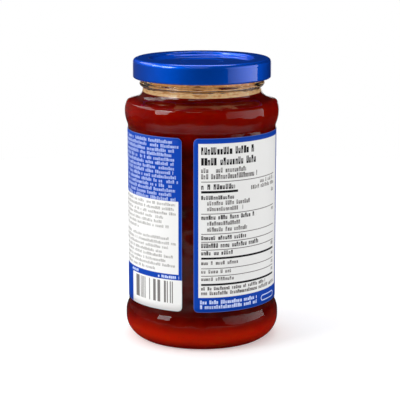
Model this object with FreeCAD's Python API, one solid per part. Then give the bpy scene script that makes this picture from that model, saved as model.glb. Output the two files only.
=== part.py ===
import FreeCAD, Part
import math
import os

# A glass jar of cooking sauce, shut with a steel twist-off lid, with a paper label wrapped round it.
# Millimetres. +Z is up, the jar's axis is the Z axis and its foot stands on Z = 0.
# The strip of bare glass between the two ends of the label looks towards -Y.

# --- Glass: overall ---
jar_height = 135.2           # foot to sealing rim
side_radius = 37.28          # widest circle, on the heel bulge and again on the shoulder bulge
wall = 2.3                   # glass round the contents

# --- Glass: foot and heel ---
foot_flat = 0.3              # width of the flat ring that the jar stands on
foot_round = 1.5             # round on both sides of that ring
heel_slope = 31.0            # degrees, rise of the heel beside the foot
heel_slope_length = 1.0
heel_radius = 10.4
heel_land = 2.2              # upright part of the heel bulge
push_up_slope = 30.0         # degrees, rise of the underside inside the foot ring
push_up_slope_length = 3.0
push_up_round = 3.0
dome_slope = 4.0             # degrees, edge slope of the shallow dome under the jar and of the floor
base_thickness = 3.0         # glass at the middle of the base

# --- Glass: label panel between the two bulges ---
panel_recess = 1.41          # how far the panel lies inside the bulges
heel_ramp_radii = (9.4, 1.2)         # round on the bulge, then on the edge of the panel
shoulder_ramp_radii = (15.0, 3.5)

# --- Glass: shoulder and neck ---
shoulder_land = 0.6          # upright part of the shoulder bulge
shoulder_radius = 9.3        # first, wide round of the shoulder
shoulder_lean = 20.0         # degrees that the wide round turns
shoulder_corner = 1.8        # tight round that follows it
shoulder_slope = 18.0        # degrees, rise of the shoulder towards the neck
neck_round = 5.0             # hollow round between shoulder and neck
neck_wall = 2.2
inner_neck_round = 6.0

# --- Glass: finish, the part that the lid grips ---
finish_radius = 29.7         # upright glass between the bead and the rim
finish_height = 13.3         # top of the plain neck to the sealing rim
neck_inset = 1.1             # how far the plain neck lies inside the finish
bead_proud = 0.45            # how far the transfer bead stands out of the finish, just under the lid
bead_rounds = (1.2, 1.3)     # hollow below the bead, then the bead itself
rim_round_outer = 1.2
rim_round_inner = 0.8

# --- Closure: four sloping lugs on the glass, four turned-in lugs on the lid ---
lug_count = 4
lug_proud = 1.5              # how far the glass lugs stand out of the finish
lug_depth = 2.4              # height of a glass lug where it leaves the glass
lug_crest = 0.9              # height of its crest
lug_root = 0.5               # how far it is set into the glass
lug_span = 70.0              # degrees covered by one glass lug
lug_hold = 22.0              # degrees of it that run level and hold the lid
lug_rise = 2.3               # climb of the rest towards its open end
lug_taper = 7.0              # degrees over which each end fades out
lug_stations = 12            # sections that the lug is lofted through
cap_lug_span = 16.0          # degrees covered by one lug of the lid
cap_lug_gap = 0.65           # between its inner edge and the glass of the finish
cap_lug_depth = 1.3
lug_clearance = 0.05         # between the two kinds of lug where the lid is held

# --- Lid: one pressed sheet, curled at its lower edge ---
sheet = 0.25
seal_depth = 0.75            # soft sealing ring between the sheet and the rim
skirt_gap = 1.8              # between the glass lugs' crest and the inside of the skirt
skirt_height = 9.4           # top of the lid to the underside of the curl
top_round = 2.0              # between the lid's top and its skirt
recess_gap = 0.75            # between the recess's wall and the bore of the glass
recess_depth = 1.5
recess_rounds = (0.9, 0.9)   # brim, then foot, of the recess's wall
button_radius = 11.0         # the middle of the recess, drawn down by the vacuum
button_depth = 0.35
button_rounds = (3.0, 3.0)
curl_radius = 0.8

# --- Contents and label ---
headspace = 15.5             # sealing rim down to the top of the sauce
label_thickness = 0.13
label_foot_margin = 2.5      # bare panel under the label
label_top_margin = 1.4       # bare panel over the label
label_start = -6.3           # degrees from -Y towards +X, where the label starts
label_gap = 8.9              # degrees of bare glass between its two ends
label_corner = 2.3

ORIGIN = FreeCAD.Vector(0, 0, 0)
UP = FreeCAD.Vector(0, 0, 1)
FRONT = -90.0                # angle of -Y, counted from +X


def direction(degrees):
    """Unit vector in the XZ plane: 0 points outwards, 90 up."""
    angle = math.radians(degrees)
    return FreeCAD.Vector(math.cos(angle), 0, math.sin(angle))


class Outline:
    """Half of a section in the XZ plane, drawn like a pen stroke out of straights and tangent arcs."""

    def __init__(self, radius, height, heading):
        self.start = FreeCAD.Vector(radius, 0, height)
        self.point = self.start
        self.heading = heading
        self.edges = []

    def line_to(self, radius, height):
        end = FreeCAD.Vector(radius, 0, height)
        self.edges.append(Part.LineSegment(self.point, end).toShape())
        self.point = end

    def straight(self, length):
        end = self.point + direction(self.heading) * length
        self.line_to(end.x, end.z)

    def bend(self, radius, turn):
        """Go round an arc: a positive turn is to the left, a negative one to the right."""
        to_centre = 90.0 if turn > 0 else -90.0
        centre = self.point + direction(self.heading + to_centre) * radius
        spoke = self.heading - to_centre
        middle = centre + direction(spoke + turn / 2) * radius
        end = centre + direction(spoke + turn) * radius
        self.edges.append(Part.Arc(self.point, middle, end).toShape())
        self.point = end
        self.heading += turn

    def step(self, rounds, offset):
        """Move sideways by offset through two opposite arcs, to the left if offset is positive."""
        turn = math.degrees(math.acos(1 - abs(offset) / sum(rounds)))
        turn = math.copysign(turn, offset)
        self.bend(rounds[0], turn)
        self.bend(rounds[1], -turn)

    def dome_to_axis(self):
        """End on the axis, square to it, with one wide arc from here."""
        slope = 180 - self.heading
        self.bend(self.point.x / math.sin(math.radians(abs(slope))), slope)

    def revolve(self, angle=360.0):
        """Close the outline with a straight edge and turn it about the axis."""
        if not self.point.isEqual(self.start, 1e-7):
            self.line_to(self.start.x, self.start.z)
        face = Part.Face(Part.Wire(self.edges))
        return face.revolve(ORIGIN, UP, angle)


def sagitta(radius, turn):
    """How far an arc moves sideways while it turns by that angle from upright."""
    return radius * (1 - math.cos(math.radians(turn)))


# Heights and radii that several pieces share
panel_radius = side_radius - panel_recess
neck_radius = finish_radius - neck_inset
bore_radius = neck_radius - neck_wall
bead_radius = finish_radius + bead_proud
lug_reach = finish_radius + lug_proud
skirt_radius = lug_reach + skirt_gap + sheet
shoulder_turn = 90 - shoulder_slope
seat_height = jar_height + seal_depth + sheet - skirt_height + 2 * curl_radius
lid_top = jar_height + seal_depth + sheet


def draw_outside():
    """Outside of the glass, from the heel's bearing ring up to the axis at the rim, with its key heights."""
    heights = {}
    heel_reach = heel_radius * (1 - math.sin(math.radians(heel_slope)))
    slope_reach = heel_slope_length * math.cos(math.radians(heel_slope))
    foot_reach = foot_round * math.sin(math.radians(heel_slope))
    foot_radius = side_radius - heel_reach - slope_reach - foot_reach

    outside = Outline(foot_radius, 0, 0)
    outside.bend(foot_round, heel_slope)
    outside.straight(heel_slope_length)
    outside.bend(heel_radius, 90 - heel_slope)
    outside.straight(heel_land)
    heights["heel_bulge"] = outside.point.z
    outside.step(heel_ramp_radii, panel_recess)
    heights["panel_foot"] = outside.point.z

    # The panel takes up what the shoulder, neck and finish leave of the jar's height
    shoulder = Outline(panel_radius, 0, 90)
    draw_shoulder(shoulder)
    heights["panel_top"] = jar_height - finish_height - shoulder.point.z
    outside.line_to(panel_radius, heights["panel_top"])
    draw_shoulder(outside, heights)

    outside.step(bead_rounds, neck_radius - bead_radius)
    outside.step((bead_rounds[1], bead_rounds[0]), bead_radius - finish_radius)
    outside.line_to(finish_radius, jar_height - rim_round_outer)
    outside.bend(rim_round_outer, 90)
    outside.line_to(0, jar_height)
    return outside, foot_radius, heights


def draw_shoulder(outline, heights=None):
    """From the top of the label panel over the shoulder bulge to the top of the plain neck."""
    bulge_rounds = (shoulder_ramp_radii[1], shoulder_ramp_radii[0])
    outline.step(bulge_rounds, -panel_recess)
    outline.straight(shoulder_land)
    if heights is not None:
        heights["shoulder_bulge"] = outline.point.z
    outline.bend(shoulder_radius, shoulder_lean)
    outline.bend(shoulder_corner, shoulder_turn - shoulder_lean)
    if heights is not None:
        heights["slope_start"] = outline.point
    reach = outline.point.x - neck_radius - sagitta(neck_round, shoulder_turn)
    outline.straight(reach / math.cos(math.radians(shoulder_slope)))
    outline.bend(neck_round, -shoulder_turn)


def make_blank():
    """The glass as if it were solid: outside, foot ring and domed underside."""
    outside, foot_radius, heights = draw_outside()
    underside = Outline(foot_radius - foot_flat, 0, 180)
    underside.bend(foot_round, -push_up_slope)
    underside.straight(push_up_slope_length)
    underside.bend(push_up_round, push_up_slope - dome_slope)
    underside.dome_to_axis()
    heights["underside"] = underside.point.z

    section = outside.edges + underside.edges
    section.append(Part.LineSegment(outside.point, underside.point).toShape())
    section.append(Part.LineSegment(underside.start, outside.start).toShape())
    face = Part.Face(Part.Wire(Part.__sortEdges__(section)))
    return face.revolve(ORIGIN, UP, 360.0), heights


def make_cavity(heights):
    """The space inside the glass, from the rim down to the floor."""
    cavity = Outline(0, jar_height, 0)
    cavity.line_to(bore_radius + rim_round_inner, jar_height)
    cavity.heading = 180
    cavity.bend(rim_round_inner, 90)

    # Inside of the shoulder: its slope keeps the wall under the outer slope, and its corner starts at the bulge
    slope = math.radians(shoulder_slope)
    turn = math.radians(shoulder_turn)
    inner_side = side_radius - wall
    outer = heights["slope_start"]
    lowered = outer.z + (outer.x - inner_side) * math.tan(slope) - wall / math.cos(slope)
    room = lowered - heights["shoulder_bulge"]
    corner = room / (math.sin(turn) - (1 - math.cos(turn)) * math.tan(slope))
    corner_x = inner_side - sagitta(corner, shoulder_turn)
    corner_z = heights["shoulder_bulge"] + corner * math.sin(turn)
    slope_x = bore_radius + sagitta(inner_neck_round, shoulder_turn)
    slope_z = corner_z + (corner_x - slope_x) * math.tan(slope)
    cavity.line_to(bore_radius, slope_z + inner_neck_round * math.sin(turn))
    cavity.bend(inner_neck_round, shoulder_turn)
    cavity.line_to(corner_x, corner_z)
    cavity.bend(corner, -shoulder_turn)

    # Down the sides, in parallel with the outside
    cavity.line_to(inner_side, heights["shoulder_bulge"] - shoulder_land)
    cavity.step(shoulder_ramp_radii, -panel_recess)
    cavity.line_to(panel_radius - wall, heights["panel_foot"])
    cavity.step((heel_ramp_radii[1], heel_ramp_radii[0]), panel_recess)

    # One round from the side into the floor, which rises to the middle like the underside
    floor_height = heights["underside"] + base_thickness
    half_dome = math.tan(math.radians(dome_slope / 2))
    tilt = math.radians(dome_slope)
    rise = heights["heel_bulge"] - floor_height + inner_side * half_dome
    floor_round = rise / (math.cos(tilt) + (1 + math.sin(tilt)) * half_dome)
    cavity.bend(floor_round, -90 - dome_slope)
    cavity.dome_to_axis()
    return cavity.revolve()


def lug_section(share):
    """Section of a glass lug at a share of its span: level, then climbing, and faded out at both ends."""
    degrees = share * lug_span
    climb = max(0.0, degrees - lug_hold) / (lug_span - lug_hold)
    underside = seat_height + lug_clearance + lug_rise * climb * climb * (3 - 2 * climb)
    from_end = min(degrees, lug_span - degrees)
    fade = math.sin(math.pi / 2 * min(1.0, from_end / lug_taper))
    reach = (lug_reach - finish_radius) * (0.06 + 0.94 * fade)
    crest = finish_radius + reach
    root = finish_radius - lug_root
    sag = (lug_depth - lug_crest) * (crest - root) / (lug_reach - root)
    corners = [
        FreeCAD.Vector(root, 0, underside),
        FreeCAD.Vector(crest, 0, underside),
        FreeCAD.Vector(crest, 0, underside + lug_depth - sag),
        FreeCAD.Vector(root, 0, underside + lug_depth),
    ]
    return Part.makePolygon(corners + corners[:1]), degrees


def make_glass_lug():
    """One sloping lug, lofted through sections that stand round the finish."""
    sections = []
    for station in range(lug_stations + 1):
        wire, degrees = lug_section(station / lug_stations)
        wire.rotate(ORIGIN, UP, degrees)
        sections.append(wire)
    return Part.makeLoft(sections, True, False)


def round_the_axis(shape, count, first_angle):
    """Copies of a shape at even steps round the axis."""
    copies = []
    for index in range(count):
        copy = shape.copy()
        copy.rotate(ORIGIN, UP, first_angle + index * 360.0 / count)
        copies.append(copy)
    return copies


def make_jar(blank, cavity):
    lugs = round_the_axis(make_glass_lug(), lug_count, FRONT)
    return blank.fuse(lugs).cut(cavity)


def make_lid():
    """Pressed sheet with its sealing ring, curled edge and turned-in lugs."""
    sheet_faces = []
    for inset in (0.0, sheet):
        height = lid_top - recess_depth - button_depth - inset
        face = Outline(0, height, 0)
        face.line_to(button_radius - button_side(), height)
        face.step((button_rounds[0] + inset, button_rounds[1] - inset), button_depth)
        face.line_to(bore_radius - recess_gap - recess_side(), face.point.z)
        face.step((recess_rounds[1] + inset, recess_rounds[0] - inset), recess_depth)
        face.line_to(skirt_radius - top_round, face.point.z)
        face.bend(top_round - inset, -90)
        face.line_to(skirt_radius - inset, lid_top - skirt_height + curl_radius)
        sheet_faces.append(face)
    outer, inner = sheet_faces
    edges = outer.edges + inner.edges
    edges.append(Part.LineSegment(outer.start, inner.start).toShape())
    edges.append(Part.LineSegment(outer.point, inner.point).toShape())
    pressing = Part.Face(Part.Wire(Part.__sortEdges__(edges))).revolve(ORIGIN, UP, 360.0)

    seal = Outline(bore_radius, jar_height, 0)
    seal.line_to(skirt_radius - top_round, jar_height)
    seal.line_to(skirt_radius - top_round, lid_top - sheet)
    seal.line_to(bore_radius, lid_top - sheet)

    curl_radial = skirt_radius - curl_radius
    curl_height = lid_top - skirt_height + curl_radius
    curl = Part.makeTorus(curl_radial, curl_radius, FreeCAD.Vector(0, 0, curl_height))

    lug = Outline(curl_radial, seat_height - cap_lug_depth, 180)
    lug.line_to(finish_radius + cap_lug_gap + cap_lug_depth / 2, seat_height - cap_lug_depth)
    lug.bend(cap_lug_depth / 2, -180)
    lug.line_to(curl_radial, seat_height)
    middle_of_hold = FRONT + (lug_taper + lug_hold) / 2
    lugs = round_the_axis(lug.revolve(cap_lug_span), lug_count, middle_of_hold - cap_lug_span / 2)
    return pressing.fuse([seal.revolve(), curl] + lugs)


def step_length(rounds, offset):
    """Length that a sideways step takes up."""
    turn = math.acos(1 - offset / sum(rounds))
    return sum(rounds) * math.sin(turn)


def button_side():
    return step_length(button_rounds, button_depth)


def recess_side():
    return step_length(recess_rounds, recess_depth)


def make_sauce(cavity):
    """What fills the cavity, up to its level."""
    level = jar_height - headspace
    return cavity.common(Part.makeCylinder(side_radius, level))


def make_label(heights):
    """Paper wrapped round the panel, with rounded corners at its two ends."""
    foot = heights["panel_foot"] + label_foot_margin
    top = heights["panel_top"] - label_top_margin
    strip = Outline(panel_radius, foot, 0)
    strip.line_to(panel_radius + label_thickness, foot)
    strip.line_to(panel_radius + label_thickness, top)
    strip.line_to(panel_radius, top)
    paper = strip.revolve(360.0 - label_gap)
    paper.rotate(ORIGIN, UP, FRONT + label_start)
    corners = [edge for edge in paper.Edges if edge.Length < 2 * label_thickness and is_level(edge)]
    return paper.makeFillet(label_corner, corners)


def is_level(edge):
    return abs(edge.Vertexes[0].Z - edge.Vertexes[-1].Z) < 1e-6


def save(shape, node):
    solids = shape.removeSplitter().Solids
    if len(solids) != 1 or not solids[0].isValid():
        raise ValueError(node + " is not one sound solid")
    solids[0].exportStep("parts/" + node + ".step")


os.makedirs("parts", exist_ok=True)
blank, key_heights = make_blank()
cavity_space = make_cavity(key_heights)
save(make_jar(blank, cavity_space), "jar")
save(make_lid(), "lid")
save(make_sauce(cavity_space), "sauce")
save(make_label(key_heights), "label")
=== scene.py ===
"""The looks of a shut jar of cooking sauce: glass, contents, enamelled lid and wraparound label."""

import math

import bpy
import numpy as np
from bpy.props import FloatProperty, FloatVectorProperty, IntProperty, PointerProperty
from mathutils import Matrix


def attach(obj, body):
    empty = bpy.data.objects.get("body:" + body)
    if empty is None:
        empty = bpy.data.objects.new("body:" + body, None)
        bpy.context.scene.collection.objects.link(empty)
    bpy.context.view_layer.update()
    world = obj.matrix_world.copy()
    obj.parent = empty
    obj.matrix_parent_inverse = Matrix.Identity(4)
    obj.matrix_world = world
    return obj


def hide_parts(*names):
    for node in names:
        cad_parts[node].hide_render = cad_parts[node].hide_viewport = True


bl_info = {
    "name": "Sauce jar looks",
    "version": (1, 0, 0),
    "blender": (4, 5, 0),
    "location": "3D View > Sidebar > Sauce jar",
    "description": "Finishes a packed glass jar of sauce with its contents, label and lid enamel",
    "category": "Object",
}

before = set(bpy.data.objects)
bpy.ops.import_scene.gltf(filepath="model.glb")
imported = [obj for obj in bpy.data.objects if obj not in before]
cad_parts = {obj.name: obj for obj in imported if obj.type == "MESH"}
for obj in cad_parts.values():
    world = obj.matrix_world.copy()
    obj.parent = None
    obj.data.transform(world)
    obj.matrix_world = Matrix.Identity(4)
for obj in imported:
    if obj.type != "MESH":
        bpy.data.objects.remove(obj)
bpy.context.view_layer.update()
MM = 0.001
BODY = "root"

# Places that materials use, in millimetres
NECK_BORE = 27.0            # glass within this radius faces the bore of the neck
OIL_FOOT = 123.2            # oil clings to the bore above this height
LINING_RADIUS = 31.6        # the lid's underside is lined within this radius
FRONT_SHIFT = 6.75          # the front's middle is this far round from +Y, towards +X
CUT_EDGE = 0.25             # width of the pale edge of the label's paper

# The label's flat map: its outer face fills the square above MAP_FOOT, and the rest lies below MAP_STRIP
MAP_FOOT = 0.06
MAP_STRIP = 0.04

# Lamps: azimuth from -Y towards +X and elevation in degrees, then distance and size in metres
LAMPS = {
    "softbox": (72.0, 14.0, 0.6, (0.72, 0.42)),
    "key": (-60.0, 26.0, 0.9, (0.3, 0.46)),
    "edge_light": (-116.0, 38.0, 0.9, (0.8, 0.3)),
    "strip": (-72.0, 34.0, 0.9, (0.7, 0.24)),
    "overhead": (-10.0, 44.0, 0.9, (0.5, 0.16)),
    "back": (180.0, 70.0, 0.9, (0.6, 0.4)),
}
SOFTBOX_FALLOFF = 0.2       # level of the softbox's near side as a share of its far side
LAMP_TARGET = 0.07          # height above the floor that every lamp faces, in metres
FLOOR_RINGS = (0.12, 0.25, 0.5)


# ---------------------------------------------------------------------------------------------
# Surfaces
# ---------------------------------------------------------------------------------------------

def node_points(node):
    """All corners of a CAD node, one row each, in metres."""
    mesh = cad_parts[node].data
    points = np.empty(len(mesh.vertices) * 3)
    mesh.vertices.foreach_get("co", points)
    return points.reshape(-1, 3)


def half_section(node):
    """Radius and height along a turned node's outline, from the axis at its foot to that at its top.

    The node's corners that lie in the half plane towards +X are put in order of their angle about
    the point of the axis half way up.
    """
    points = node_points(node)
    near = (np.abs(points[:, 1]) < 0.001 * MM) & (points[:, 0] >= 0)
    section = np.unique(np.round(points[near][:, [0, 2]], 7), axis=0)
    middle = (section[:, 1].min() + section[:, 1].max()) / 2
    order = np.argsort(np.arctan2(section[:, 1] - middle, section[:, 0]))
    return section[order]


def evenly(section, spacing):
    """The same outline with evenly spaced points, and the corners between its facets rounded off.

    Each point, except the first and the last, becomes the mean of itself and the two points on
    either side of it.
    """
    steps = np.hypot(*np.diff(section, axis=0).T)
    length = np.concatenate([[0.0], np.cumsum(steps)])
    places = np.linspace(0.0, length[-1], int(length[-1] / spacing) + 1)
    even = np.column_stack([np.interp(places, length, section[:, i]) for i in (0, 1)])
    padded = np.pad(even, ((2, 2), (0, 0)), mode="edge")
    smooth = sum(padded[i:i + len(even)] for i in range(5)) / 5
    smooth[[0, -1]] = even[[0, -1]]
    return smooth


def turned_surface(name, radius, height, segments, relief=None):
    """Closed surface of revolution: x = r cos a, y = r sin a, z = h + relief(x, y) for every angle a.

    Radius and height run from the axis at the foot to the axis at the top. Both ends become
    poles, with a ring of triangles round each.
    """
    angle = np.arange(segments) * 2 * math.pi / segments
    rings_r, rings_z = radius[1:-1], height[1:-1]
    x = rings_r[:, None] * np.cos(angle)
    y = rings_r[:, None] * np.sin(angle)
    z = np.repeat(rings_z[:, None], segments, axis=1)
    if relief is not None:
        z = z + relief(x, y, z)
    rings = np.stack([x, y, z], axis=-1).reshape(-1, 3)
    poles = np.array([[0.0, 0.0, height[0]], [0.0, 0.0, height[-1]]])
    points = np.vstack([rings, poles])

    along = np.arange(segments)
    after = (along + 1) % segments
    row = np.arange(len(rings_r) - 1)[:, None] * segments
    quads = np.stack([row + along, row + after, row + segments + after, row + segments + along], axis=-1)
    foot, top = len(rings), len(rings) + 1
    last = (len(rings_r) - 1) * segments
    foot_fan = np.stack([after, along, np.full(segments, foot)], axis=-1)
    top_fan = np.stack([last + along, last + after, np.full(segments, top)], axis=-1)
    faces = quads.reshape(-1, 4).tolist() + foot_fan.tolist() + top_fan.tolist()
    return make_piece(name, points, faces)


def make_piece(name, points, faces):
    """New smooth-shaded object at the origin, with its place in its mesh."""
    mesh = bpy.data.meshes.new(name)
    mesh.from_pydata(points.tolist(), [], faces)
    mesh.shade_smooth()
    piece = bpy.data.objects.new(name, mesh)
    bpy.context.scene.collection.objects.link(piece)
    return piece


def wrapped_sheet(name, radii, start, span, foot, top, corner, columns, rows):
    """Closed sheet round the Z axis with rounded corners at its two ends, and its flat map.

    Column by column, with a the arc length from the nearer end, the sheet reaches from
    foot + d to top - d, where d = c - sqrt(c^2 - (c - a)^2) within a corner of radius c, and 0
    between the corners. A ring of points runs up the outer face and down the inner one.
    """
    inner, outer = radii
    quarter = corner * (1 - np.cos(np.linspace(0, math.pi / 2, 9)))
    middle = np.linspace(corner, span - corner, columns)[1:-1]
    arc = np.concatenate([quarter, middle, span - quarter[::-1]])
    short = np.clip(corner - np.minimum(arc, span - arc), 0.0, corner)
    inset = corner - np.sqrt(corner ** 2 - short ** 2)
    share = np.linspace(0, 1, rows)
    z_up = (foot + inset)[:, None] + (top - foot - 2 * inset)[:, None] * share
    angle = start + arc / outer

    def face_points(radius, z):
        x = radius * np.sin(angle)[:, None] * np.ones_like(z)
        y = -radius * np.cos(angle)[:, None] * np.ones_like(z)
        return np.stack([x, y, z], axis=-1)

    ring = np.concatenate([face_points(outer, z_up), face_points(inner, z_up[:, ::-1])], axis=1)
    points = ring.reshape(-1, 3)
    around = 2 * rows
    column = np.arange(len(arc) - 1)[:, None] * around
    here = np.arange(around)
    following = (here + 1) % around
    quads = np.stack([
        column + here, column + around + here, column + around + following, column + following,
    ], axis=-1)
    pair = np.arange(rows - 1)
    ends = []
    for base, flip in ((0, False), ((len(arc) - 1) * around, True)):
        cap = np.stack([pair, pair + 1, around - 2 - pair, around - 1 - pair], axis=-1) + base
        ends.append(cap[:, ::-1] if flip else cap)
    faces = np.vstack([quads.reshape(-1, 4)] + ends)
    piece = make_piece(name, points, faces.tolist())

    place_in_ring = faces % around
    on_outer = place_in_ring < rows
    u = (arc / span)[faces // around]
    v = share[np.where(on_outer, place_in_ring, around - 1 - place_in_ring)]
    v = np.where(on_outer.all(axis=1)[:, None], MAP_FOOT + (1 - MAP_FOOT) * v, MAP_STRIP * v)
    uv = np.stack([u, v], axis=-1)
    layer = piece.data.uv_layers.new(name="OFBake")
    layer.data.foreach_set("uv", uv.reshape(-1).astype(np.float32))
    return piece


# ---------------------------------------------------------------------------------------------
# Shader building
# ---------------------------------------------------------------------------------------------

class Signal:
    """A number that changes over a surface: arithmetic on it adds Math nodes to its tree."""

    def __init__(self, tree, socket):
        self.tree = tree
        self.socket = socket

    def math(self, operation, *others):
        node = self.tree.nodes.new("ShaderNodeMath")
        node.operation = operation
        for socket, value in zip(node.inputs, (self,) + others):
            plug(self.tree, value, socket)
        return Signal(self.tree, node.outputs[0])

    def __add__(self, other):
        return self.math("ADD", other)

    def __sub__(self, other):
        return self.math("SUBTRACT", other)

    def __mul__(self, other):
        return self.math("MULTIPLY", other)

    def __truediv__(self, other):
        return self.math("DIVIDE", other)

    def __gt__(self, other):
        return self.math("GREATER_THAN", other)

    def __lt__(self, other):
        return self.math("LESS_THAN", other)

    def floor(self):
        return self.math("FLOOR")

    def fraction(self):
        return self.math("FRACT")

    def absolute(self):
        return self.math("ABSOLUTE")

    def either(self, other):
        return self.math("MAXIMUM", other)

    def ramp(self, low, high):
        """0 below low, 1 above high and a smooth rise between them."""
        node = self.tree.nodes.new("ShaderNodeMapRange")
        node.interpolation_type = "SMOOTHSTEP"
        for name, value in (("Value", self), ("From Min", low), ("From Max", high)):
            plug(self.tree, value, node.inputs[name])
        return Signal(self.tree, node.outputs["Result"])

    def scaled(self, low, high):
        """low where the signal is 0, high where it is 1."""
        return self * (high - low) + low


def plug(tree, value, socket):
    if isinstance(value, Signal):
        tree.links.new(value.socket, socket)
    elif isinstance(value, bpy.types.NodeSocket):
        tree.links.new(value, socket)
    else:
        socket.default_value = value


def opaque(colour):
    return (*colour, 1.0)


def add_node(tree, kind, inputs=None, **settings):
    node = tree.nodes.new(kind)
    for name, value in settings.items():
        setattr(node, name, value)
    for name, value in (inputs or {}).items():
        plug(tree, value, node.inputs[name])
    return node


def blend_colour(tree, share, first, second):
    """first where share is 0, second where it is 1."""
    node = add_node(tree, "ShaderNodeMix", data_type="RGBA")
    plug(tree, share, node.inputs[0])
    plug(tree, first, node.inputs[6])
    plug(tree, second, node.inputs[7])
    return node.outputs[2]


def noise(tree, vector, scale, detail=2.0, roughness=0.5):
    node = add_node(
        tree, "ShaderNodeTexNoise",
        {"Vector": vector, "Scale": scale, "Detail": detail, "Roughness": roughness},
    )
    return Signal(tree, node.outputs["Fac"])


def bump(tree, height, distance):
    node = add_node(tree, "ShaderNodeBump", {"Height": height, "Distance": distance, "Strength": 1.0})
    return node.outputs["Normal"]


def scaled_vector(tree, vector, scale):
    node = add_node(tree, "ShaderNodeVectorMath", {0: vector, "Scale": scale}, operation="SCALE")
    return node.outputs[0]


def three_parts(tree, vector):
    parts = add_node(tree, "ShaderNodeSeparateXYZ", {0: vector})
    return [Signal(tree, parts.outputs[i]) for i in range(3)]


def from_axis(x, y):
    """Distance from the Z axis: the root of x^2 + y^2."""
    return (x * x + y * y).math("SQRT")


def object_place(tree):
    """The Object coordinates and their three parts, in millimetres."""
    coordinates = add_node(tree, "ShaderNodeTexCoord").outputs["Object"]
    vector = scaled_vector(tree, coordinates, 1 / MM)
    return vector, three_parts(tree, vector)


def new_group(name, inputs, output):
    """A node group with one float output and inputs given as name: default, where None is a vector.

    Returns its tree, its inputs by name and its output node.
    """
    tree = bpy.data.node_groups.new(name, "ShaderNodeTree")
    for label, default in inputs.items():
        kind = "NodeSocketVector" if default is None else "NodeSocketFloat"
        socket = tree.interface.new_socket(name=label, in_out="INPUT", socket_type=kind)
        if default is not None:
            socket.default_value = default
    tree.interface.new_socket(name=output, in_out="OUTPUT", socket_type="NodeSocketFloat")
    entry = tree.nodes.new("NodeGroupInput")
    leave = tree.nodes.new("NodeGroupOutput")
    given = {label: Signal(tree, entry.outputs[label]) for label in inputs}
    return tree, given, leave


def use_group(tree, name, **values):
    """Place a finished group in a tree and return its first output."""
    node = add_node(tree, "ShaderNodeGroup", node_tree=bpy.data.node_groups[name])
    for label, value in values.items():
        plug(tree, value, node.inputs[label.replace("_", " ").capitalize()])
    return Signal(tree, node.outputs[0])


def new_material(name):
    material = bpy.data.materials.new(name)
    material.use_nodes = True
    tree = material.node_tree
    return material, tree, tree.nodes["Principled BSDF"]


def finish_shader(tree, shader, values):
    for name, value in values.items():
        plug(tree, value, shader.inputs[name])


# ---------------------------------------------------------------------------------------------
# Effects that more than one material uses
# ---------------------------------------------------------------------------------------------

def build_handling_marks():
    """Faint smears and fine scratches left by handling: 0 where clean, 1 where most marked."""
    inputs = {"Vector": None, "Scale": 1.0}
    tree, given, leave = new_group("handling marks", inputs, "Marks")
    scaled = scaled_vector(tree, given["Vector"], given["Scale"])
    smears = noise(tree, scaled, 0.07, 4.0, 0.6).ramp(0.45, 0.75)
    stretch = add_node(tree, "ShaderNodeMapping", {"Vector": scaled, "Scale": (1.0, 1.0, 14.0)})
    hairs = noise(tree, stretch.outputs[0], 0.4, 5.0, 0.7).ramp(0.6, 0.68)
    marks = smears * 0.7 + hairs * 0.3
    plug(tree, marks, leave.inputs["Marks"])


def build_field():
    """Rectangle with rounded corners on the flat label: 1 inside, 0 outside."""
    inputs = {"Across": 0.0, "Up": 0.0, "Left": 0.0, "Right": 1.0, "Bottom": 0.0, "Top": 1.0, "Corner": 0.0}
    tree, given, leave = new_group("rounded field", inputs, "Inside")
    beyond = []
    for place, low, high in (("Across", "Left", "Right"), ("Up", "Bottom", "Top")):
        middle = (given[low] + given[high]) * 0.5
        reach = (given[high] - given[low]) * 0.5 - given["Corner"]
        beyond.append((given[place] - middle).absolute() - reach)
    outside = [value.either(0.0) for value in beyond]
    distance = (outside[0] * outside[0] + outside[1] * outside[1]).math("SQRT")
    deep = beyond[0].either(beyond[1]).math("MINIMUM", 0.0)
    plug(tree, (distance + deep - given["Corner"]) < 0.0001, leave.inputs["Inside"])


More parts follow.
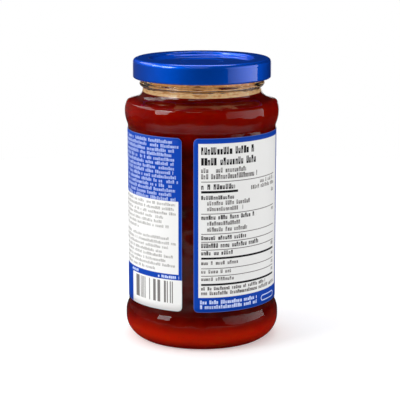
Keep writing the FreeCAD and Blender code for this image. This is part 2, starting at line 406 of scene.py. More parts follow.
def build_word_rows():
    """Rows of small blocks of uneven width and height that stand in for text: 1 on the ink.

    A row is cut into narrow cells. Random numbers per cell leave some blank, as gaps between
    words, lower and narrow others, and put a slit at some height into most. Rows may end
    unevenly at the right.
    """
    inputs = {
        "Across": 0.0, "Up": 0.0, "Left": 0.0, "Right": 1.0, "Top": 1.0, "Height": 1.0, "Pitch": 2.0,
        "Rows": 1.0, "Ragged": 0.0, "Cell": 1.0, "Split": 0.12, "Gaps": 0.14, "Seed": 0.0,
    }
    tree, given, leave = new_group("rows of words", inputs, "Ink")
    down = (given["Top"] - given["Up"]) / given["Pitch"]
    row = down.floor()
    from_foot = (down.fraction() * given["Pitch"] / given["Height"]) * -1.0 + 1.0
    steps = (given["Across"] - given["Left"]) / given["Cell"]
    cell = steps.floor()
    within = steps.fraction()
    cell_place = {"X": cell + 0.5, "Y": row + given["Seed"] * 7.0, "Z": 0.5}
    spot = add_node(tree, "ShaderNodeCombineXYZ", cell_place)
    dice = add_node(tree, "ShaderNodeTexWhiteNoise", {"Vector": spot.outputs[0]}, noise_dimensions="3D")
    parts = add_node(tree, "ShaderNodeSeparateColor", {0: dice.outputs["Color"]})
    inked, tall, stems = [Signal(tree, parts.outputs[i]) for i in range(3)]
    row_place = {"W": row + given["Seed"] * 3.0}
    line_end = add_node(tree, "ShaderNodeTexWhiteNoise", row_place, noise_dimensions="1D")
    end = given["Right"] - given["Ragged"] * Signal(tree, line_end.outputs["Value"])

    ink = (inked > given["Gaps"]).either(cell < 0.5) * (within < (tall * 9.7).fraction().scaled(0.66, 0.9))
    ink = ink * (from_foot > 0.0) * (from_foot < (tall > 0.62).scaled(0.74, 1.0))
    slit = (within - 0.38).absolute() < given["Split"]
    side = (inked * 13.0).fraction() > 0.5
    slit = slit * (from_foot > (side * 0.3)) * (from_foot < side.scaled(0.5, 1.1)) * (stems > 0.22)
    ink = ink * (slit * -1.0 + 1.0)
    ink = ink * (given["Across"] > given["Left"]) * (given["Across"] < end)
    ink = ink * (row > -0.5) * (row < given["Rows"] - 0.5)
    plug(tree, ink, leave.inputs["Ink"])


def build_stripes():
    """Upright stripes of uneven width: 1 on the ink."""
    inputs = {"Across": 0.0, "Left": 0.0, "Module": 0.3, "Seed": 0.0}
    tree, given, leave = new_group("uneven stripes", inputs, "Ink")
    cell = ((given["Across"] - given["Left"]) / given["Module"]).floor()
    dice = add_node(tree, "ShaderNodeTexWhiteNoise", {"W": cell + given["Seed"]}, noise_dimensions="1D")
    plug(tree, Signal(tree, dice.outputs["Value"]) > 0.5, leave.inputs["Ink"])


def build_groups():
    build_handling_marks()
    build_field()
    build_word_rows()
    build_stripes()


# ---------------------------------------------------------------------------------------------
# Settings
# ---------------------------------------------------------------------------------------------

def colour(name, description, default):
    return FloatVectorProperty(
        name=name, description=description, default=default, subtype="COLOR", size=3, min=0.0, max=1.0,
    )


def distance(name, description, default):
    return FloatProperty(
        name=name, description=description, default=default, subtype="DISTANCE", unit="LENGTH",
    )


def strength(name, description, default):
    return FloatProperty(name=name, description=description, default=default, min=0.0)


class SauceSettings(bpy.types.PropertyGroup):
    body: colour("Body colour", "Sauce where it is thick", (0.29, 0.004, 0.0))
    # Painted shade: the colour the sauce darkens to behind the label and under the lid; the dark specks use
    # it too
    deep: colour("Deep colour", "Sauce behind the label, where little light gets in", (0.09, 0.003, 0.0008))
    # Painted light: the colour the foot of the sauce glows with, as if lit through the base
    glow: colour("Glow colour", "Sauce at the foot, where light comes through it", (0.95, 0.03, 0.0005))
    oil: colour("Oil colour", "Pale oil and bubbles on the top of the sauce", (0.95, 0.64, 0.32))
    crust: colour("Crust colour", "Brown patches between the bubbles", (0.55, 0.22, 0.06))
    reach: distance("Reach", "How far the sauce goes into the glass, so that no air gap shows", 0.3 * MM)
    foot_reach: distance("Reach at the foot", "How far the sauce goes into the thick base", 1.5 * MM)
    meniscus: distance("Meniscus", "How far the sauce climbs up at its edge", 0.5 * MM)
    foam: distance("Foam", "Height of the foam that clings to the neck above the sauce", 3.2 * MM)
    ripple: distance("Ripple", "Unevenness of the top of the sauce", 0.25 * MM)


class GlassSettings(bpy.types.PropertyGroup):
    tint: colour("Tint", "Colour of the glass", (0.985, 0.995, 0.985))
    oil: colour("Oil", "Thick oil inside the neck", (0.72, 0.38, 0.14))
    thin_oil: colour("Thin oil", "Thin oil inside the neck", (0.97, 0.8, 0.58))
    waviness: distance("Waviness", "Depth of the slow waves in the shading of the surface", 1.0 * MM)


class LidSettings(bpy.types.PropertyGroup):
    enamel: colour("Enamel", "Blue lacquer over the metal", (0.0, 0.145, 0.98))
    edge_tint: colour("Edge tint", "Colour of the enamel where it is seen at a slant", (0.0, 0.22, 1.0))
    lining: colour("Lining", "Lacquer and sealing ring inside the lid", (0.72, 0.6, 0.42))


class LabelSettings(bpy.types.PropertyGroup):
    blue: colour("Blue", "Field and border", (0.0, 0.052, 0.43))
    white: colour("White", "Bare paper", (0.86, 0.86, 0.85))
    pale: colour("Pale ink", "Light rows on the blue field", (0.62, 0.72, 1.0))
    black: colour("Black ink", "Headings and heavy rules", (0.012, 0.012, 0.014))
    grey: colour("Grey ink", "Small rows", (0.2, 0.19, 0.185))
    faint: colour("Faint ink", "Small rows on the narrow panel", (0.42, 0.41, 0.4))
    accent: colour("Accent", "Banner on the far side", (0.5, 0.02, 0.012))
    gold: colour("Gold", "Rim of the banner and noodles in the bowl", (0.8, 0.5, 0.16))
    corner: distance("Corner", "Radius of the label's corners", 2.3 * MM)
    glue: distance("Glue", "How far the paper is sunk into the glass, so that no air gap shows", 0.05 * MM)


class StageSettings(bpy.types.PropertyGroup):
    distance: distance("Camera distance", "From the jar's axis", 727.5 * MM)
    height: distance("Camera height", "Above the surface that the jar stands on", 217.7 * MM)
    aside: distance("Camera offset", "To the left of the jar's axis", 0.93 * MM)
    pitch: FloatProperty(
        name="Camera pitch", description="Downward tilt", default=math.radians(11.75), subtype="ANGLE",
    )
    lens: FloatProperty(name="Lens", description="Focal length for a 36 mm sensor", default=136.95, min=1.0)
    surround: strength("Surround", "Level of the room that lights matt surfaces", 0.6)
    gloom: strength("Gloom", "Level of the room as glossy surfaces reflect it", 0.007)
    glow: strength("Glow", "Level of the left side of the room as glossy surfaces reflect it", 0.08)
    softbox: strength("Softbox", "Radiance of the far side of the tall softbox on the right", 1.8)
    key: strength("Key", "Radiance of the light on the left", 4.0)
    edge_light: strength("Edge light", "Radiance of the light on the left, behind the jar", 1.8)
    strip: strength("Strip", "Radiance of the long light on the left", 4.5)
    overhead: strength("Overhead", "Radiance of the light above the camera", 1.5)
    back: strength("Back", "Radiance of the light above and behind the jar", 2.6)
    floor: colour("Floor", "Colour of the floor to the camera", (0.8, 0.8, 0.8))
    # Painted shadow: right round the jar, reflections see this colour dimmed further
    cloth: colour("Cloth", "Colour of the floor near the jar as the jar reflects it", (0.32, 0.32, 0.32))
    edge: distance("Floor edge", "How far from the jar's axis the pale part of the floor goes", 260 * MM)
    lift: strength("Lift", "What is added to the floor where it is seen, so that it looks white", 0.3)
    segments: IntProperty(
        name="Segments", description="Points round the turned pieces", default=256, min=64,
    )


# ---------------------------------------------------------------------------------------------
# Glass
# ---------------------------------------------------------------------------------------------

def make_glass(settings):
    """Clear glass with slow waves, ticks on its foot ring and streaks of oil inside the neck."""
    material, tree, shader = new_material("clear container glass")
    vector, (x, y, z) = object_place(tree)
    waves = noise(tree, vector, 0.09, 1.0)
    marks = use_group(tree, "handling marks", vector=vector, scale=1.0)

    # Fine radial ticks on the foot ring, where the hot glass was set down
    angle = y.math("ARCTAN2", x)
    ticks = (angle * 180.0).math("SINE") * (z < 0.5)
    height = waves + ticks * 0.6

    # Oil that clings to the inside of the neck, in streaks
    bore = (from_axis(x, y) < NECK_BORE) * (z > OIL_FOOT)
    streaks = noise(tree, vector, 0.35, 3.0, 0.6).ramp(0.25, 0.65)
    film = blend_colour(tree, streaks, opaque(settings.oil), opaque(settings.thin_oil))
    finish_shader(tree, shader, {
        "Base Color": blend_colour(tree, bore, opaque(settings.tint), film),
        "Roughness": marks * 0.03,
        "IOR": 1.5,
        "Transmission Weight": 1.0,
        "Normal": bump(tree, height, settings.waviness),
    })
    return material


class SAUCEJAR_OT_glass(bpy.types.Operator):
    """Give the jar its clear glass"""
    bl_idname = "sauce_jar.glass"
    bl_label = "Glass"

    def execute(self, context):
        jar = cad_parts["jar"]
        jar.data.materials.clear()
        jar.data.materials.append(make_glass(context.scene.sauce_jar_glass))
        return {"FINISHED"}


# ---------------------------------------------------------------------------------------------
# Sauce
# ---------------------------------------------------------------------------------------------

def steps_inwards(radius):
    """Distances from a rim in to the axis, close together at the rim."""
    return np.concatenate([np.geomspace(0.05, 4.0, 12) * MM, np.linspace(6 * MM, radius, 40)])


def sauce_outline(settings):
    """Radius and height of the sauce's outline in the glass, the radius of the bore and the level.

    Each point moves along the outline's normal by the reach, which grows to the reach at the foot
    between 16 mm and 8 mm above the floor. The top is flat.
    """
    section = half_section("sauce")
    level = section[:, 1].max()
    wall = section[section[:, 1] < level - 0.01 * MM]
    wall = np.vstack([wall, section[np.argmax(section[:, 1] + section[:, 0] * 0.01)]])
    wall = evenly(wall, 0.7 * MM)
    along = np.gradient(wall, axis=0)
    along /= np.hypot(*along.T)[:, None]
    normal = np.column_stack([along[:, 1], -along[:, 0]])
    low = np.clip((16 * MM - wall[:, 1]) / (8 * MM), 0, 1)
    pushed = wall + normal * (settings.reach + (settings.foot_reach - settings.reach) * low)[:, None]
    pushed[0, 0] = 0.0
    bore = wall[-1, 0]

    gap = steps_inwards(pushed[-1, 0])
    top = np.column_stack([pushed[-1, 0] - gap, np.full_like(gap, level)])
    outline = np.vstack([pushed, top])
    return outline[:, 0], outline[:, 1], bore, level


def foam_outline(settings, bore, level):
    """Radius and height of the foam's outline: a thin skin on the sauce with a rim up the glass.

    Its underside is flat, just below the level. Its top is at the level plus
    m (0.4 + exp(-g / 1 mm)), where m is the meniscus and g the distance from the rim.
    """
    outer = bore + settings.reach
    base = np.column_stack([np.linspace(0, outer, 12), np.full(12, level - 0.3 * MM)])
    climb = np.linspace(0, 1, 12)[:, None]
    rim = np.hstack([np.full_like(climb, outer), level + settings.foam * climb])
    back = np.hstack([bore - settings.foam * 0.12 - 0.3 * MM * (1 - climb[::-1]), rim[::-1, 1:]])
    gap = steps_inwards(back[-1, 0])
    top = np.column_stack([back[-1, 0] - gap, level + settings.meniscus * (0.4 + np.exp(-gap / MM))])
    outline = np.vstack([base, rim, back[:-1], top])
    return outline[:, 0], outline[:, 1]


def make_sauce(settings):
    """Sauce with painted shade behind the label and at its top, painted light at the foot, and dark specks.
    """
    material, tree, shader = new_material("red-brown cooking sauce")
    vector, (_, _, z) = object_place(tree)
    # Painted shade: darker where little light gets in, behind the label and under the lid
    shade = (z.ramp(4.0, 24.0) * z.ramp(104.0, 94.0)).either(z.ramp(112.0, 119.0) * 0.8)
    mixed = blend_colour(tree, shade, opaque(settings.body), opaque(settings.deep))
    # Painted light: towards the foot the sauce turns to the glow colour, as if lit from below
    mixed = blend_colour(tree, z.ramp(14.5, 3.0), mixed, opaque(settings.glow))
    mottle = noise(tree, vector, 0.11, 4.0, 0.6).ramp(0.3, 0.75)
    mixed = blend_colour(tree, mottle * 0.12, mixed, opaque(settings.glow))
    bits = add_node(tree, "ShaderNodeTexVoronoi", {"Vector": vector, "Scale": 0.45, "Randomness": 1.0})
    specks = Signal(tree, bits.outputs["Distance"]).ramp(0.16, 0.08)
    mixed = blend_colour(tree, specks * 0.35, mixed, opaque(settings.deep))

    finish_shader(tree, shader, {
        "Base Color": mixed,
        "Roughness": 0.25,
        "IOR": 1.38,
        "Specular IOR Level": 0.0,
        "Subsurface Weight": 1.0,
        "Subsurface Radius": (14.0, 1.2, 0.5),
        "Subsurface Scale": MM,
        "Normal": bump(tree, mottle, 0.1 * MM),
    })
    return material


def make_foam(settings):
    """Oil and fine bubbles that float on the sauce, streaked where they cling to the glass.

    A little emission stands for the lamplight that would reach it through the glass.
    """
    material, tree, shader = new_material("pale oily foam")
    vector = object_place(tree)[0]
    bubbles = noise(tree, vector, 0.8, 5.0, 0.65).ramp(0.3, 0.58)
    stretch = add_node(tree, "ShaderNodeMapping", {"Vector": vector, "Scale": (0.16, 0.16, 0.9)})
    streaks = noise(tree, stretch.outputs[0], 1.0, 3.0, 0.6).ramp(0.3, 0.5)
    paleness = bubbles.scaled(0.35, 1.0) * streaks
    foam = blend_colour(tree, paleness, opaque(settings.crust), opaque(settings.oil))
    finish_shader(tree, shader, {
        "Base Color": foam,
        "Emission Color": foam,
        "Emission Strength": 0.35,
        "Roughness": 0.2,
        "IOR": 1.38,
        "Coat Weight": streaks,
        "Coat Roughness": 0.05,
        "Normal": bump(tree, bubbles, 0.15 * MM),
    })
    return material


class SAUCEJAR_OT_sauce(bpy.types.Operator):
    """Fill the jar with sauce that reaches just into the glass"""
    bl_idname = "sauce_jar.sauce"
    bl_label = "Sauce"

    def execute(self, context):
        settings = context.scene.sauce_jar_sauce
        radius, height, bore, level = sauce_outline(settings)

        def relief(x, y, z):
            """Two crossed sets of slow waves on the top, and an uneven edge all round the foam.

            The foam's edge rises and falls with the sum of three sines of the angle, in
            proportion to the height above the level.
            """
            waves = np.sin(x * 410 + 1.3 * np.sin(y * 260)) + np.sin(y * 350 + 1.1 * np.sin(x * 230) + 2.0)
            inside = np.clip((bore - 2 * MM - np.hypot(x, y)) / (3 * MM), 0, 1)
            angle = np.arctan2(y, x)
            uneven = np.sin(5 * angle) + 0.7 * np.sin(13 * angle + 1) + 0.6 * np.sin(29 * angle + 2)
            risen = np.clip((z - level) / settings.foam, 0, 1) * (inside == 0)
            ripple = settings.ripple * waves * inside * (z > level)
            return ripple + 0.12 * settings.foam * uneven * risen

        segments = context.scene.sauce_jar_stage.segments
        sauce = turned_surface("sauce_filling", radius, height, segments)
        sauce.data.materials.append(make_sauce(settings))
        foam = turned_surface("sauce_foam", *foam_outline(settings, bore, level), segments, relief)
        foam.data.materials.append(make_foam(settings))
        for piece in (sauce, foam):
            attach(piece, BODY)
        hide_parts("sauce")
        return {"FINISHED"}


# ---------------------------------------------------------------------------------------------
# Lid
# ---------------------------------------------------------------------------------------------

def make_enamel(settings):
    """Blue lacquer over metal under a clear coat, and a pale lining on the underside."""
    material, tree, shader = new_material("blue lid enamel")
    vector, (x, y, _) = object_place(tree)
    marks = use_group(tree, "handling marks", vector=vector, scale=1.6)
    facing = three_parts(tree, add_node(tree, "ShaderNodeNewGeometry").outputs["Normal"])
    lining = (facing[2] < -0.5) * (from_axis(x, y) < LINING_RADIUS)
    base = blend_colour(tree, lining, opaque(settings.enamel), opaque(settings.lining))
    peel = noise(tree, vector, 1.3, 2.0)
    finish_shader(tree, shader, {
        "Base Color": base,
        "Metallic": lining.scaled(0.88, 0.0),
        "Specular Tint": opaque(settings.edge_tint),
        "Roughness": marks.scaled(0.52, 0.6),
        "Coat Weight": 1.0,
        "Coat Roughness": 0.04,
        "Coat IOR": 1.7,
        "Normal": bump(tree, peel, 0.004 * MM),
    })
    return material


class SAUCEJAR_OT_lid(bpy.types.Operator):
    """Give the lid its blue enamel"""
    bl_idname = "sauce_jar.lid"
    bl_label = "Lid"

    def execute(self, context):
        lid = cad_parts["lid"]
        lid.data.materials.clear()
        lid.data.materials.append(make_enamel(context.scene.sauce_jar_lid))
        return {"FINISHED"}


# ---------------------------------------------------------------------------------------------
# Label
# ---------------------------------------------------------------------------------------------

class Print:
    """Layers of ink on the flat label, laid one over another. All places are in millimetres."""

    def __init__(self, tree, across, up, ground):
        self.tree = tree
        self.across = across
        self.up = up
        self.colour = opaque(ground)

    def lay(self, mask, ink):
        self.colour = blend_colour(self.tree, mask, self.colour, opaque(ink))

    def field(self, left, right, bottom, top, corner=0.0):
        return use_group(
            self.tree, "rounded field", across=self.across, up=self.up,
            left=left, right=right, bottom=bottom, top=top, corner=corner,
        )

    def rules(self, left, right, rules):
        """Straight rules from left to right, given as (middle, thickness)."""
        drawn = 0.0
        for middle, thickness in rules:
            drawn = self.up.math("COMPARE", middle, thickness / 2) + drawn
        return drawn * self.across.math("COMPARE", (left + right) / 2, (right - left) / 2)

    def chosen(self, table):
        """The settings of the row that a place is in, from a table of rows from the top down.

        A row's first number is its top. Each setting steps to the next row's value where the
        place is below that row's top.
        """
        settings = list(table[0])
        for above, row in zip(table, table[1:]):
            below = self.up < row[0] + 0.15
            for index, (old, new) in enumerate(zip(above, row)):
                if new != old:
                    settings[index] = below.math("MULTIPLY_ADD", new - old, settings[index])
        return settings

    def words(self, left, right, top, height, cell, seed, **rest):
        """Rows of words from left to right, downwards from top. Unless rest says more, it is one row."""
        values = {"rows": 1, "pitch": 9.0, "ragged": 0.0, "split": 0.12, "gaps": 0.14, **rest}
        return use_group(
            self.tree, "rows of words", across=self.across, up=self.up, left=left, right=right,
            top=top, height=height, cell=cell, seed=seed, **values,
        )


def print_left_part(sheet, ink):
    """Pale rows on the blue field, a white panel with small rows, and a panel of stripes."""
    rows = sheet.words(-75.0, -10.9, 101.4, 1.6, 1.05, 1.0, rows=14, pitch=2.08, ragged=4.0, split=0.05)
    sheet.lay(rows * 0.62, ink.pale)
    sheet.lay(sheet.field(-75.0, -11.2, 37.5, 72.6), ink.white)
    top, right = sheet.chosen([
        (71.7, -12.8), (69.5, -13.5), (67.3, -12.6), (65.2, -19.2), (63.0, -20.0),
        (60.9, -16.0), (58.7, -35.6), (55.2, -15.0), (53.0, -12.5), (50.9, -16.5),
        (48.7, -20.0), (46.6, -14.0), (44.4, -18.0), (42.3, -13.0), (40.1, -24.0),
    ])
    sheet.lay(sheet.words(-72.0, right, top, 1.4, 0.95, top, split=0.08), ink.faint)
    sheet.lay(sheet.words(-22.2, -11.0, 36.7, 1.3, 1.0, 4.0, split=0.05), ink.pale)
    sheet.lay(sheet.words(-43.0, -35.5, 36.7, 1.3, 1.0, 5.0, split=0.05), ink.pale)
    sheet.lay(sheet.field(-42.2, -4.0, 10.0, 34.8, 0.8), ink.white)
    left = -39.0
    stripes = use_group(
        sheet.tree, "uneven stripes", across=sheet.across, left=left, module=0.53, seed=4.0,
    )
    sheet.lay(stripes * sheet.field(left, -13.8, 23.4, 34.0), ink.grey)


def print_right_part(sheet, ink):
    """A white panel ruled like a table, with two headings, heavy and light rows, and a pale footer."""
    left, right = -0.4, 44.8
    sheet.lay(sheet.field(-1.7, 49.5, 26.8, 100.2), ink.white)
    top, height, start, end, cell, light = sheet.chosen([
        (98.6, 3.5, left, 26.7, 1.5, 0.0),
        (93.6, 3.5, left, 28.1, 1.5, 0.0),
        (88.9, 2.3, left, 21.9, 1.15, 0.8),
        (86.1, 2.5, left, 28.9, 1.15, 0.8),
        (81.2, 2.5, left, 15.9, 1.45, 0.25),
        (75.8, 1.9, left, 15.4, 1.15, 0.3),
        (73.3, 2.1, 2.4, 24.4, 1.1, 0.9),
        (70.5, 2.0, 2.4, 20.3, 1.1, 0.9),
        (66.5, 2.1, left, 28.4, 1.15, 0.3),
        (63.6, 2.0, 2.4, 18.7, 1.1, 0.9),
        (60.8, 2.1, 2.4, 22.7, 1.1, 0.9),
        (56.7, 2.0, left, 22.1, 1.15, 0.3),
        (53.1, 2.2, left, 30.0, 1.15, 0.3),
        (49.4, 2.0, left, 15.0, 1.2, 0.3),
        (44.5, 1.8, left, 17.7, 1.15, 0.9),
        (40.4, 1.8, left, 14.0, 1.15, 0.9),
        (36.7, 1.7, left, 15.6, 1.15, 0.9),
        (32.1, 1.7, left, 36.0, 1.0, 0.6),
        (29.9, 1.8, left, 46.6, 1.0, 0.6),
    ])
    dark = blend_colour(sheet.tree, light, opaque(ink.black), opaque(ink.grey))
    gaps = (light > 0.1).scaled(0.04, 0.14)
    words = sheet.words(start, end, top, height, cell, top, split=0.07, gaps=gaps)
    sheet.colour = blend_colour(sheet.tree, words, sheet.colour, dark)
    top, start, end = sheet.chosen([
        (81.6, 31.1, 44.6), (79.2, 25.0, 44.7), (75.8, 41.8, 44.7), (66.5, 42.2, 44.7), (56.7, 60.0, 60.0),
        (49.4, 41.8, 44.7), (44.5, 42.4, 44.7), (40.4, 42.4, 44.7), (36.7, 42.4, 44.7), (33.0, 60.0, 60.0),
    ])
    column = sheet.words(start, end, top, 1.9, 1.1, top + 0.5)
    fine = [(middle, 0.4) for middle in (82.3, 67.1, 57.5, 53.7, 49.9, 40.9, 37.3)]
    sheet.lay(column + sheet.rules(left, right, fine), ink.grey)
    heavy = sheet.rules(left, right, [(45.8, 0.95), (33.1, 0.95)])
    sheet.lay(heavy.either(sheet.rules(left, 17.5, [(77.5, 1.1)])), ink.black)
    footer = sheet.words(-0.9, 29.3, 25.5, 1.85, 1.1, 40.0, rows=2, pitch=2.3, split=0.05)
    sheet.lay(footer, ink.pale)
    ring = sheet.field(32.5, 45.5, 21.4, 24.4, 1.5) - sheet.field(33.0, 45.0, 21.9, 23.9, 1.0)
    sheet.lay(ring, ink.pale)


def print_front(sheet, ink):
    """The side away from the text: a banner with two plain bars, and a bowl of noodles under it."""
    sheet.lay(sheet.field(-39.0, 39.0, 47.0, 82.0, 16.0), ink.gold)
    sheet.lay(sheet.field(-37.8, 37.8, 48.2, 80.8, 14.8), ink.accent)
    sheet.lay(sheet.field(-27.0, 27.0, 63.5, 75.0, 2.5), ink.white)
    sheet.lay(sheet.field(-20.0, 20.0, 54.0, 59.0, 2.5), ink.gold)
    sheet.lay(sheet.words(-17.0, 17.0, 94.0, 1.9, 1.15, 53.0, rows=2, pitch=3.0, split=0.1), ink.pale)
    wave = (sheet.across * 1.7 + (sheet.up * 1.3).math("SINE") * 1.4).math("SINE") > 0.0
    sheet.lay(sheet.field(-12.0, 12.0, 33.0, 41.5, 4.2), ink.gold)
    sheet.lay(sheet.field(-12.0, 12.0, 33.0, 41.5, 4.2) * wave, ink.accent)
    bowl = sheet.field(-14.0, 14.0, 24.0, 52.0, 14.0) * (sheet.up < 37.0)
    sheet.lay(bowl.either(sheet.field(-6.0, 6.0, 22.8, 25.5, 0.4)), ink.white)
    sheet.lay(sheet.field(-14.0, 14.0, 34.4, 35.4), ink.blue)


def cut_edge(tree, span, height):
    """Bare cut paper along the label's four sides, by its flat map."""
    u, v, _ = three_parts(tree, add_node(tree, "ShaderNodeUVMap", uv_map="OFBake").outputs["UV"])
    along = u * (span / MM)
    up = (v - MAP_FOOT) * (height / MM / (1 - MAP_FOOT))
    ends = (along < CUT_EDGE).either(along > span / MM - CUT_EDGE)
    return ends.either(up < CUT_EDGE).either(up > height / MM - CUT_EDGE)


def make_label_paper(settings, radius, span, height):
    """Satin paper with its print, placed by the arc length from -Y, or on the front from +Y."""
    material, tree, shader = new_material("printed label paper")
    vector, (x, y, z) = object_place(tree)
    round_front = x.math("ARCTAN2", y * -1.0) * (radius / MM)
    sheet = Print(tree, round_front, z, settings.blue)
    print_left_part(sheet, settings)
    print_right_part(sheet, settings)
    sheet.across = (x * -1.0).math("ARCTAN2", y) * (radius / MM) + FRONT_SHIFT
    print_front(sheet, settings)
    sheet.lay(cut_edge(tree, span, height) * 0.15, settings.pale)
    marks = use_group(tree, "handling marks", vector=vector, scale=1.2)
    cockle = noise(tree, vector, 0.12, 2.0)
    finish_shader(tree, shader, {
        "Base Color": sheet.colour,
        "Roughness": marks.scaled(0.42, 0.55),
        "Specular IOR Level": 0.12,
        "Normal": bump(tree, cockle, 0.02 * MM),
    })
    return material


class SAUCEJAR_OT_label(bpy.types.Operator):
    """Wrap the printed label round the jar"""
    bl_idname = "sauce_jar.label"
    bl_label = "Label"

    def execute(self, context):
        settings = context.scene.sauce_jar_label
        points = node_points("label")
        radius = np.hypot(points[:, 0], points[:, 1])
        outer, inner = radius.max(), radius.min() - settings.glue
        angle = np.unwrap(np.sort(np.arctan2(points[:, 0], -points[:, 1])))
        gap = np.argmax(np.diff(angle))
        start = angle[gap + 1]
        span = (2 * math.pi - (angle[gap + 1] - angle[gap])) * outer
        foot, top = points[:, 2].min(), points[:, 2].max()
        piece = wrapped_sheet(
            "label_paper", (inner, outer), start, span, foot, top, settings.corner, columns=240, rows=24,
        )
        piece.data.materials.append(make_label_paper(settings, outer, span, top - foot))
        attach(piece, BODY)
        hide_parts("label")
        return {"FINISHED"}


# ---------------------------------------------------------------------------------------------
# Stage
# ---------------------------------------------------------------------------------------------

def sight(tree):
    """Four masks of rays, by how they come from the camera.

    They are those seen, straight or only through glass, those last reflected and those last sent
    through glass before any matt surface, and those that light a matt surface.
    """
    path = add_node(tree, "ShaderNodeLightPath")
    names = ("Is Camera Ray", "Is Glossy Ray", "Is Transmission Ray", "Diffuse Depth", "Glossy Depth")
    camera, glossy, through, matt, mirrored = [Signal(tree, path.outputs[name]) for name in names]
    seen = camera.either(through * ((matt + mirrored) < 0.5))
    clear = matt < 0.5
    return seen, glossy * clear, through * clear, matt > 0.5


def make_floor(settings):
    """Disc round the origin, of circles r cos a, r sin a at height 0. It is white wherever it is seen.

    To surfaces that reflect it, it is dim right round the jar, as a painted shadow, pale in front of it up
    to the settings' edge, and dark elsewhere.
    """
    segments = 96
    radius = np.array(FLOOR_RINGS)
    angle = np.arange(segments) * 2 * math.pi / segments
    x = radius[:, None] * np.cos(angle)
    y = radius[:, None] * np.sin(angle)
    rings = np.stack([x, y, np.zeros_like(x)], axis=-1).reshape(-1, 3)
    points = np.vstack([rings, np.zeros((1, 3))])
    along = np.arange(segments)
    after = (along + 1) % segments
    fan = np.stack([np.full(segments, len(rings)), along, after], axis=-1)
    row = np.arange(len(radius) - 1)[:, None] * segments
    bands = np.stack([row + along, row + segments + along, row + segments + after, row + after], axis=-1)
    floor = make_piece("floor", points, fan.tolist() + bands.reshape(-1, 4).tolist())

    material, tree, shader = new_material("pale floor")
    x, y, _ = object_place(tree)[1]
    seen, _, _, lights = sight(tree)
    radius = from_axis(x, y)
    near = radius.ramp(settings.edge / MM * 1.15, settings.edge / MM * 0.85)
    # Painted shadow: to reflections the floor dims to 6 % of the cloth within 80 mm of the jar's axis
    near = near * radius.ramp(80.0, 170.0).scaled(0.06, 1.0) * y.ramp(40.0, -60.0)
    shade = blend_colour(tree, near, opaque((0.02, 0.02, 0.02)), opaque(settings.cloth))
    base = blend_colour(tree, seen.either(lights), shade, opaque(settings.floor))
    finish_shader(tree, shader, {
        "Base Color": base,
        "Roughness": 0.7,
        "Specular IOR Level": 0.0,
        "Emission Color": opaque((1, 1, 1)),
        "Emission Strength": seen * settings.lift,
    })
    floor.data.materials.append(material)


def make_world(settings):
    """White where it is seen. It lights matt surfaces as a plain room.

    Reflections show a dim room with a pale backdrop low down behind the jar and a faint glow on
    the left.
    """
    world = bpy.data.worlds.new("studio")
    bpy.context.scene.world = world
    world.use_nodes = True
    tree = world.node_tree
    tree.nodes.clear()
    x, y, z = three_parts(tree, add_node(tree, "ShaderNodeTexCoord").outputs["Generated"])
    seen, glossy, through, lights = sight(tree)
    low = (z.ramp(0.03, -0.03) * glossy).either(z.ramp(0.45, 0.35) * through)
    backdrop = y.ramp(0.93, 0.97) * low
    azimuth = x.math("ARCTAN2", y * -1.0) * (180 / math.pi)
    left = azimuth.ramp(-45.0, -100.0) * azimuth.ramp(-178.0, -150.0) * settings.glow
    room = lights.scaled(settings.gloom, settings.surround)
    level = room.either(backdrop).either(left).either(seen)
    background = add_node(tree, "ShaderNodeBackground", {"Color": opaque((1, 1, 1)), "Strength": level})
    output = add_node(tree, "ShaderNodeOutputWorld")
    tree.links.new(background.outputs[0], output.inputs["Surface"])


def hang_lamp(name, radiance, falloff):
    """Rectangular lamp that faces the jar.

    Its level changes evenly from the radiance times falloff at one side to the full radiance at
    the other.
    """
    azimuth, elevation, reach, size = LAMPS[name]
    lamp = bpy.data.lights.new(name, "AREA")
    lamp.shape = "RECTANGLE"
    lamp.size, lamp.size_y = size
    lamp.energy = radiance * math.pi * size[0] * size[1]
    if falloff != 1.0:
        lamp.use_nodes = True
        tree = lamp.node_tree
        place = three_parts(tree, add_node(tree, "ShaderNodeNewGeometry").outputs["Parametric"])
        plug(tree, place[0].scaled(falloff, 1.0), tree.nodes["Emission"].inputs["Strength"])
    holder = bpy.data.objects.new(name, lamp)
    bpy.context.scene.collection.objects.link(holder)
    around, above = math.radians(azimuth), math.radians(elevation)
    target = np.array([0.0, 0.0, LAMP_TARGET])
    away = np.array([
        math.sin(around) * math.cos(above), -math.cos(around) * math.cos(above), math.sin(above),
    ])
    holder.location = target + away * reach
    holder.rotation_euler = (math.pi / 2 - above, 0.0, around)


def set_camera(settings):
    camera = bpy.data.objects.new("camera", bpy.data.cameras.new("camera"))
    bpy.context.scene.collection.objects.link(camera)
    camera.location = (-settings.aside, -settings.distance, settings.height)
    camera.rotation_euler = (math.pi / 2 - settings.pitch, 0.0, 0.0)
    camera.data.lens = settings.lens
    camera.data.sensor_width = 36.0
    camera.data.clip_start = 0.01
    bpy.context.scene.camera = camera


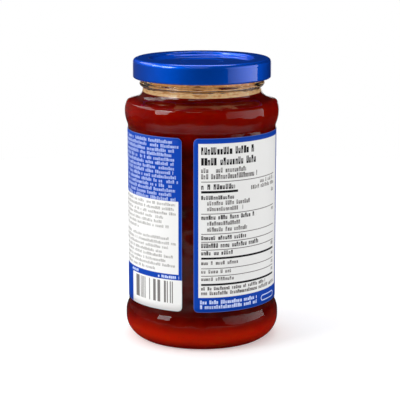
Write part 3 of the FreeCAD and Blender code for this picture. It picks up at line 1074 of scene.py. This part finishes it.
class SAUCEJAR_OT_stage(bpy.types.Operator):
    """Set up the pale floor, the lights and the camera"""
    bl_idname = "sauce_jar.stage"
    bl_label = "Stage"

    def execute(self, context):
        settings = context.scene.sauce_jar_stage
        set_camera(settings)
        make_floor(settings)
        make_world(settings)
        for name in LAMPS:
            hang_lamp(name, getattr(settings, name), SOFTBOX_FALLOFF if name == "softbox" else 1.0)
        context.scene.view_settings.view_transform = "Standard"
        return {"FINISHED"}


# ---------------------------------------------------------------------------------------------
# Add-on
# ---------------------------------------------------------------------------------------------

SETTINGS = {
    "sauce_jar_glass": GlassSettings,
    "sauce_jar_sauce": SauceSettings,
    "sauce_jar_lid": LidSettings,
    "sauce_jar_label": LabelSettings,
    "sauce_jar_stage": StageSettings,
}
OPERATORS = (SAUCEJAR_OT_stage, SAUCEJAR_OT_glass, SAUCEJAR_OT_sauce, SAUCEJAR_OT_lid, SAUCEJAR_OT_label)


class SAUCEJAR_PT_panel(bpy.types.Panel):
    """Settings and steps of the sauce jar"""
    bl_idname = "SAUCEJAR_PT_panel"
    bl_label = "Sauce jar"
    bl_space_type = "VIEW_3D"
    bl_region_type = "UI"
    bl_category = "Sauce jar"

    def draw(self, context):
        for operator in OPERATORS:
            self.layout.operator(operator.bl_idname)
        for name, group in SETTINGS.items():
            box = self.layout.box()
            for setting in group.__annotations__:
                box.prop(getattr(context.scene, name), setting)


def register():
    for name, group in SETTINGS.items():
        bpy.utils.register_class(group)
        setattr(bpy.types.Scene, name, PointerProperty(type=group))
    for operator in OPERATORS:
        bpy.utils.register_class(operator)
    bpy.utils.register_class(SAUCEJAR_PT_panel)


def unregister():
    bpy.utils.unregister_class(SAUCEJAR_PT_panel)
    for operator in reversed(OPERATORS):
        bpy.utils.unregister_class(operator)
    for name, group in reversed(SETTINGS.items()):
        delattr(bpy.types.Scene, name)
        bpy.utils.unregister_class(group)


def main():
    register()
    build_groups()
    bpy.ops.sauce_jar.stage()
    bpy.ops.sauce_jar.glass()
    bpy.ops.sauce_jar.sauce()
    bpy.ops.sauce_jar.lid()
    bpy.ops.sauce_jar.label()


if __name__ == "__main__":
    main()
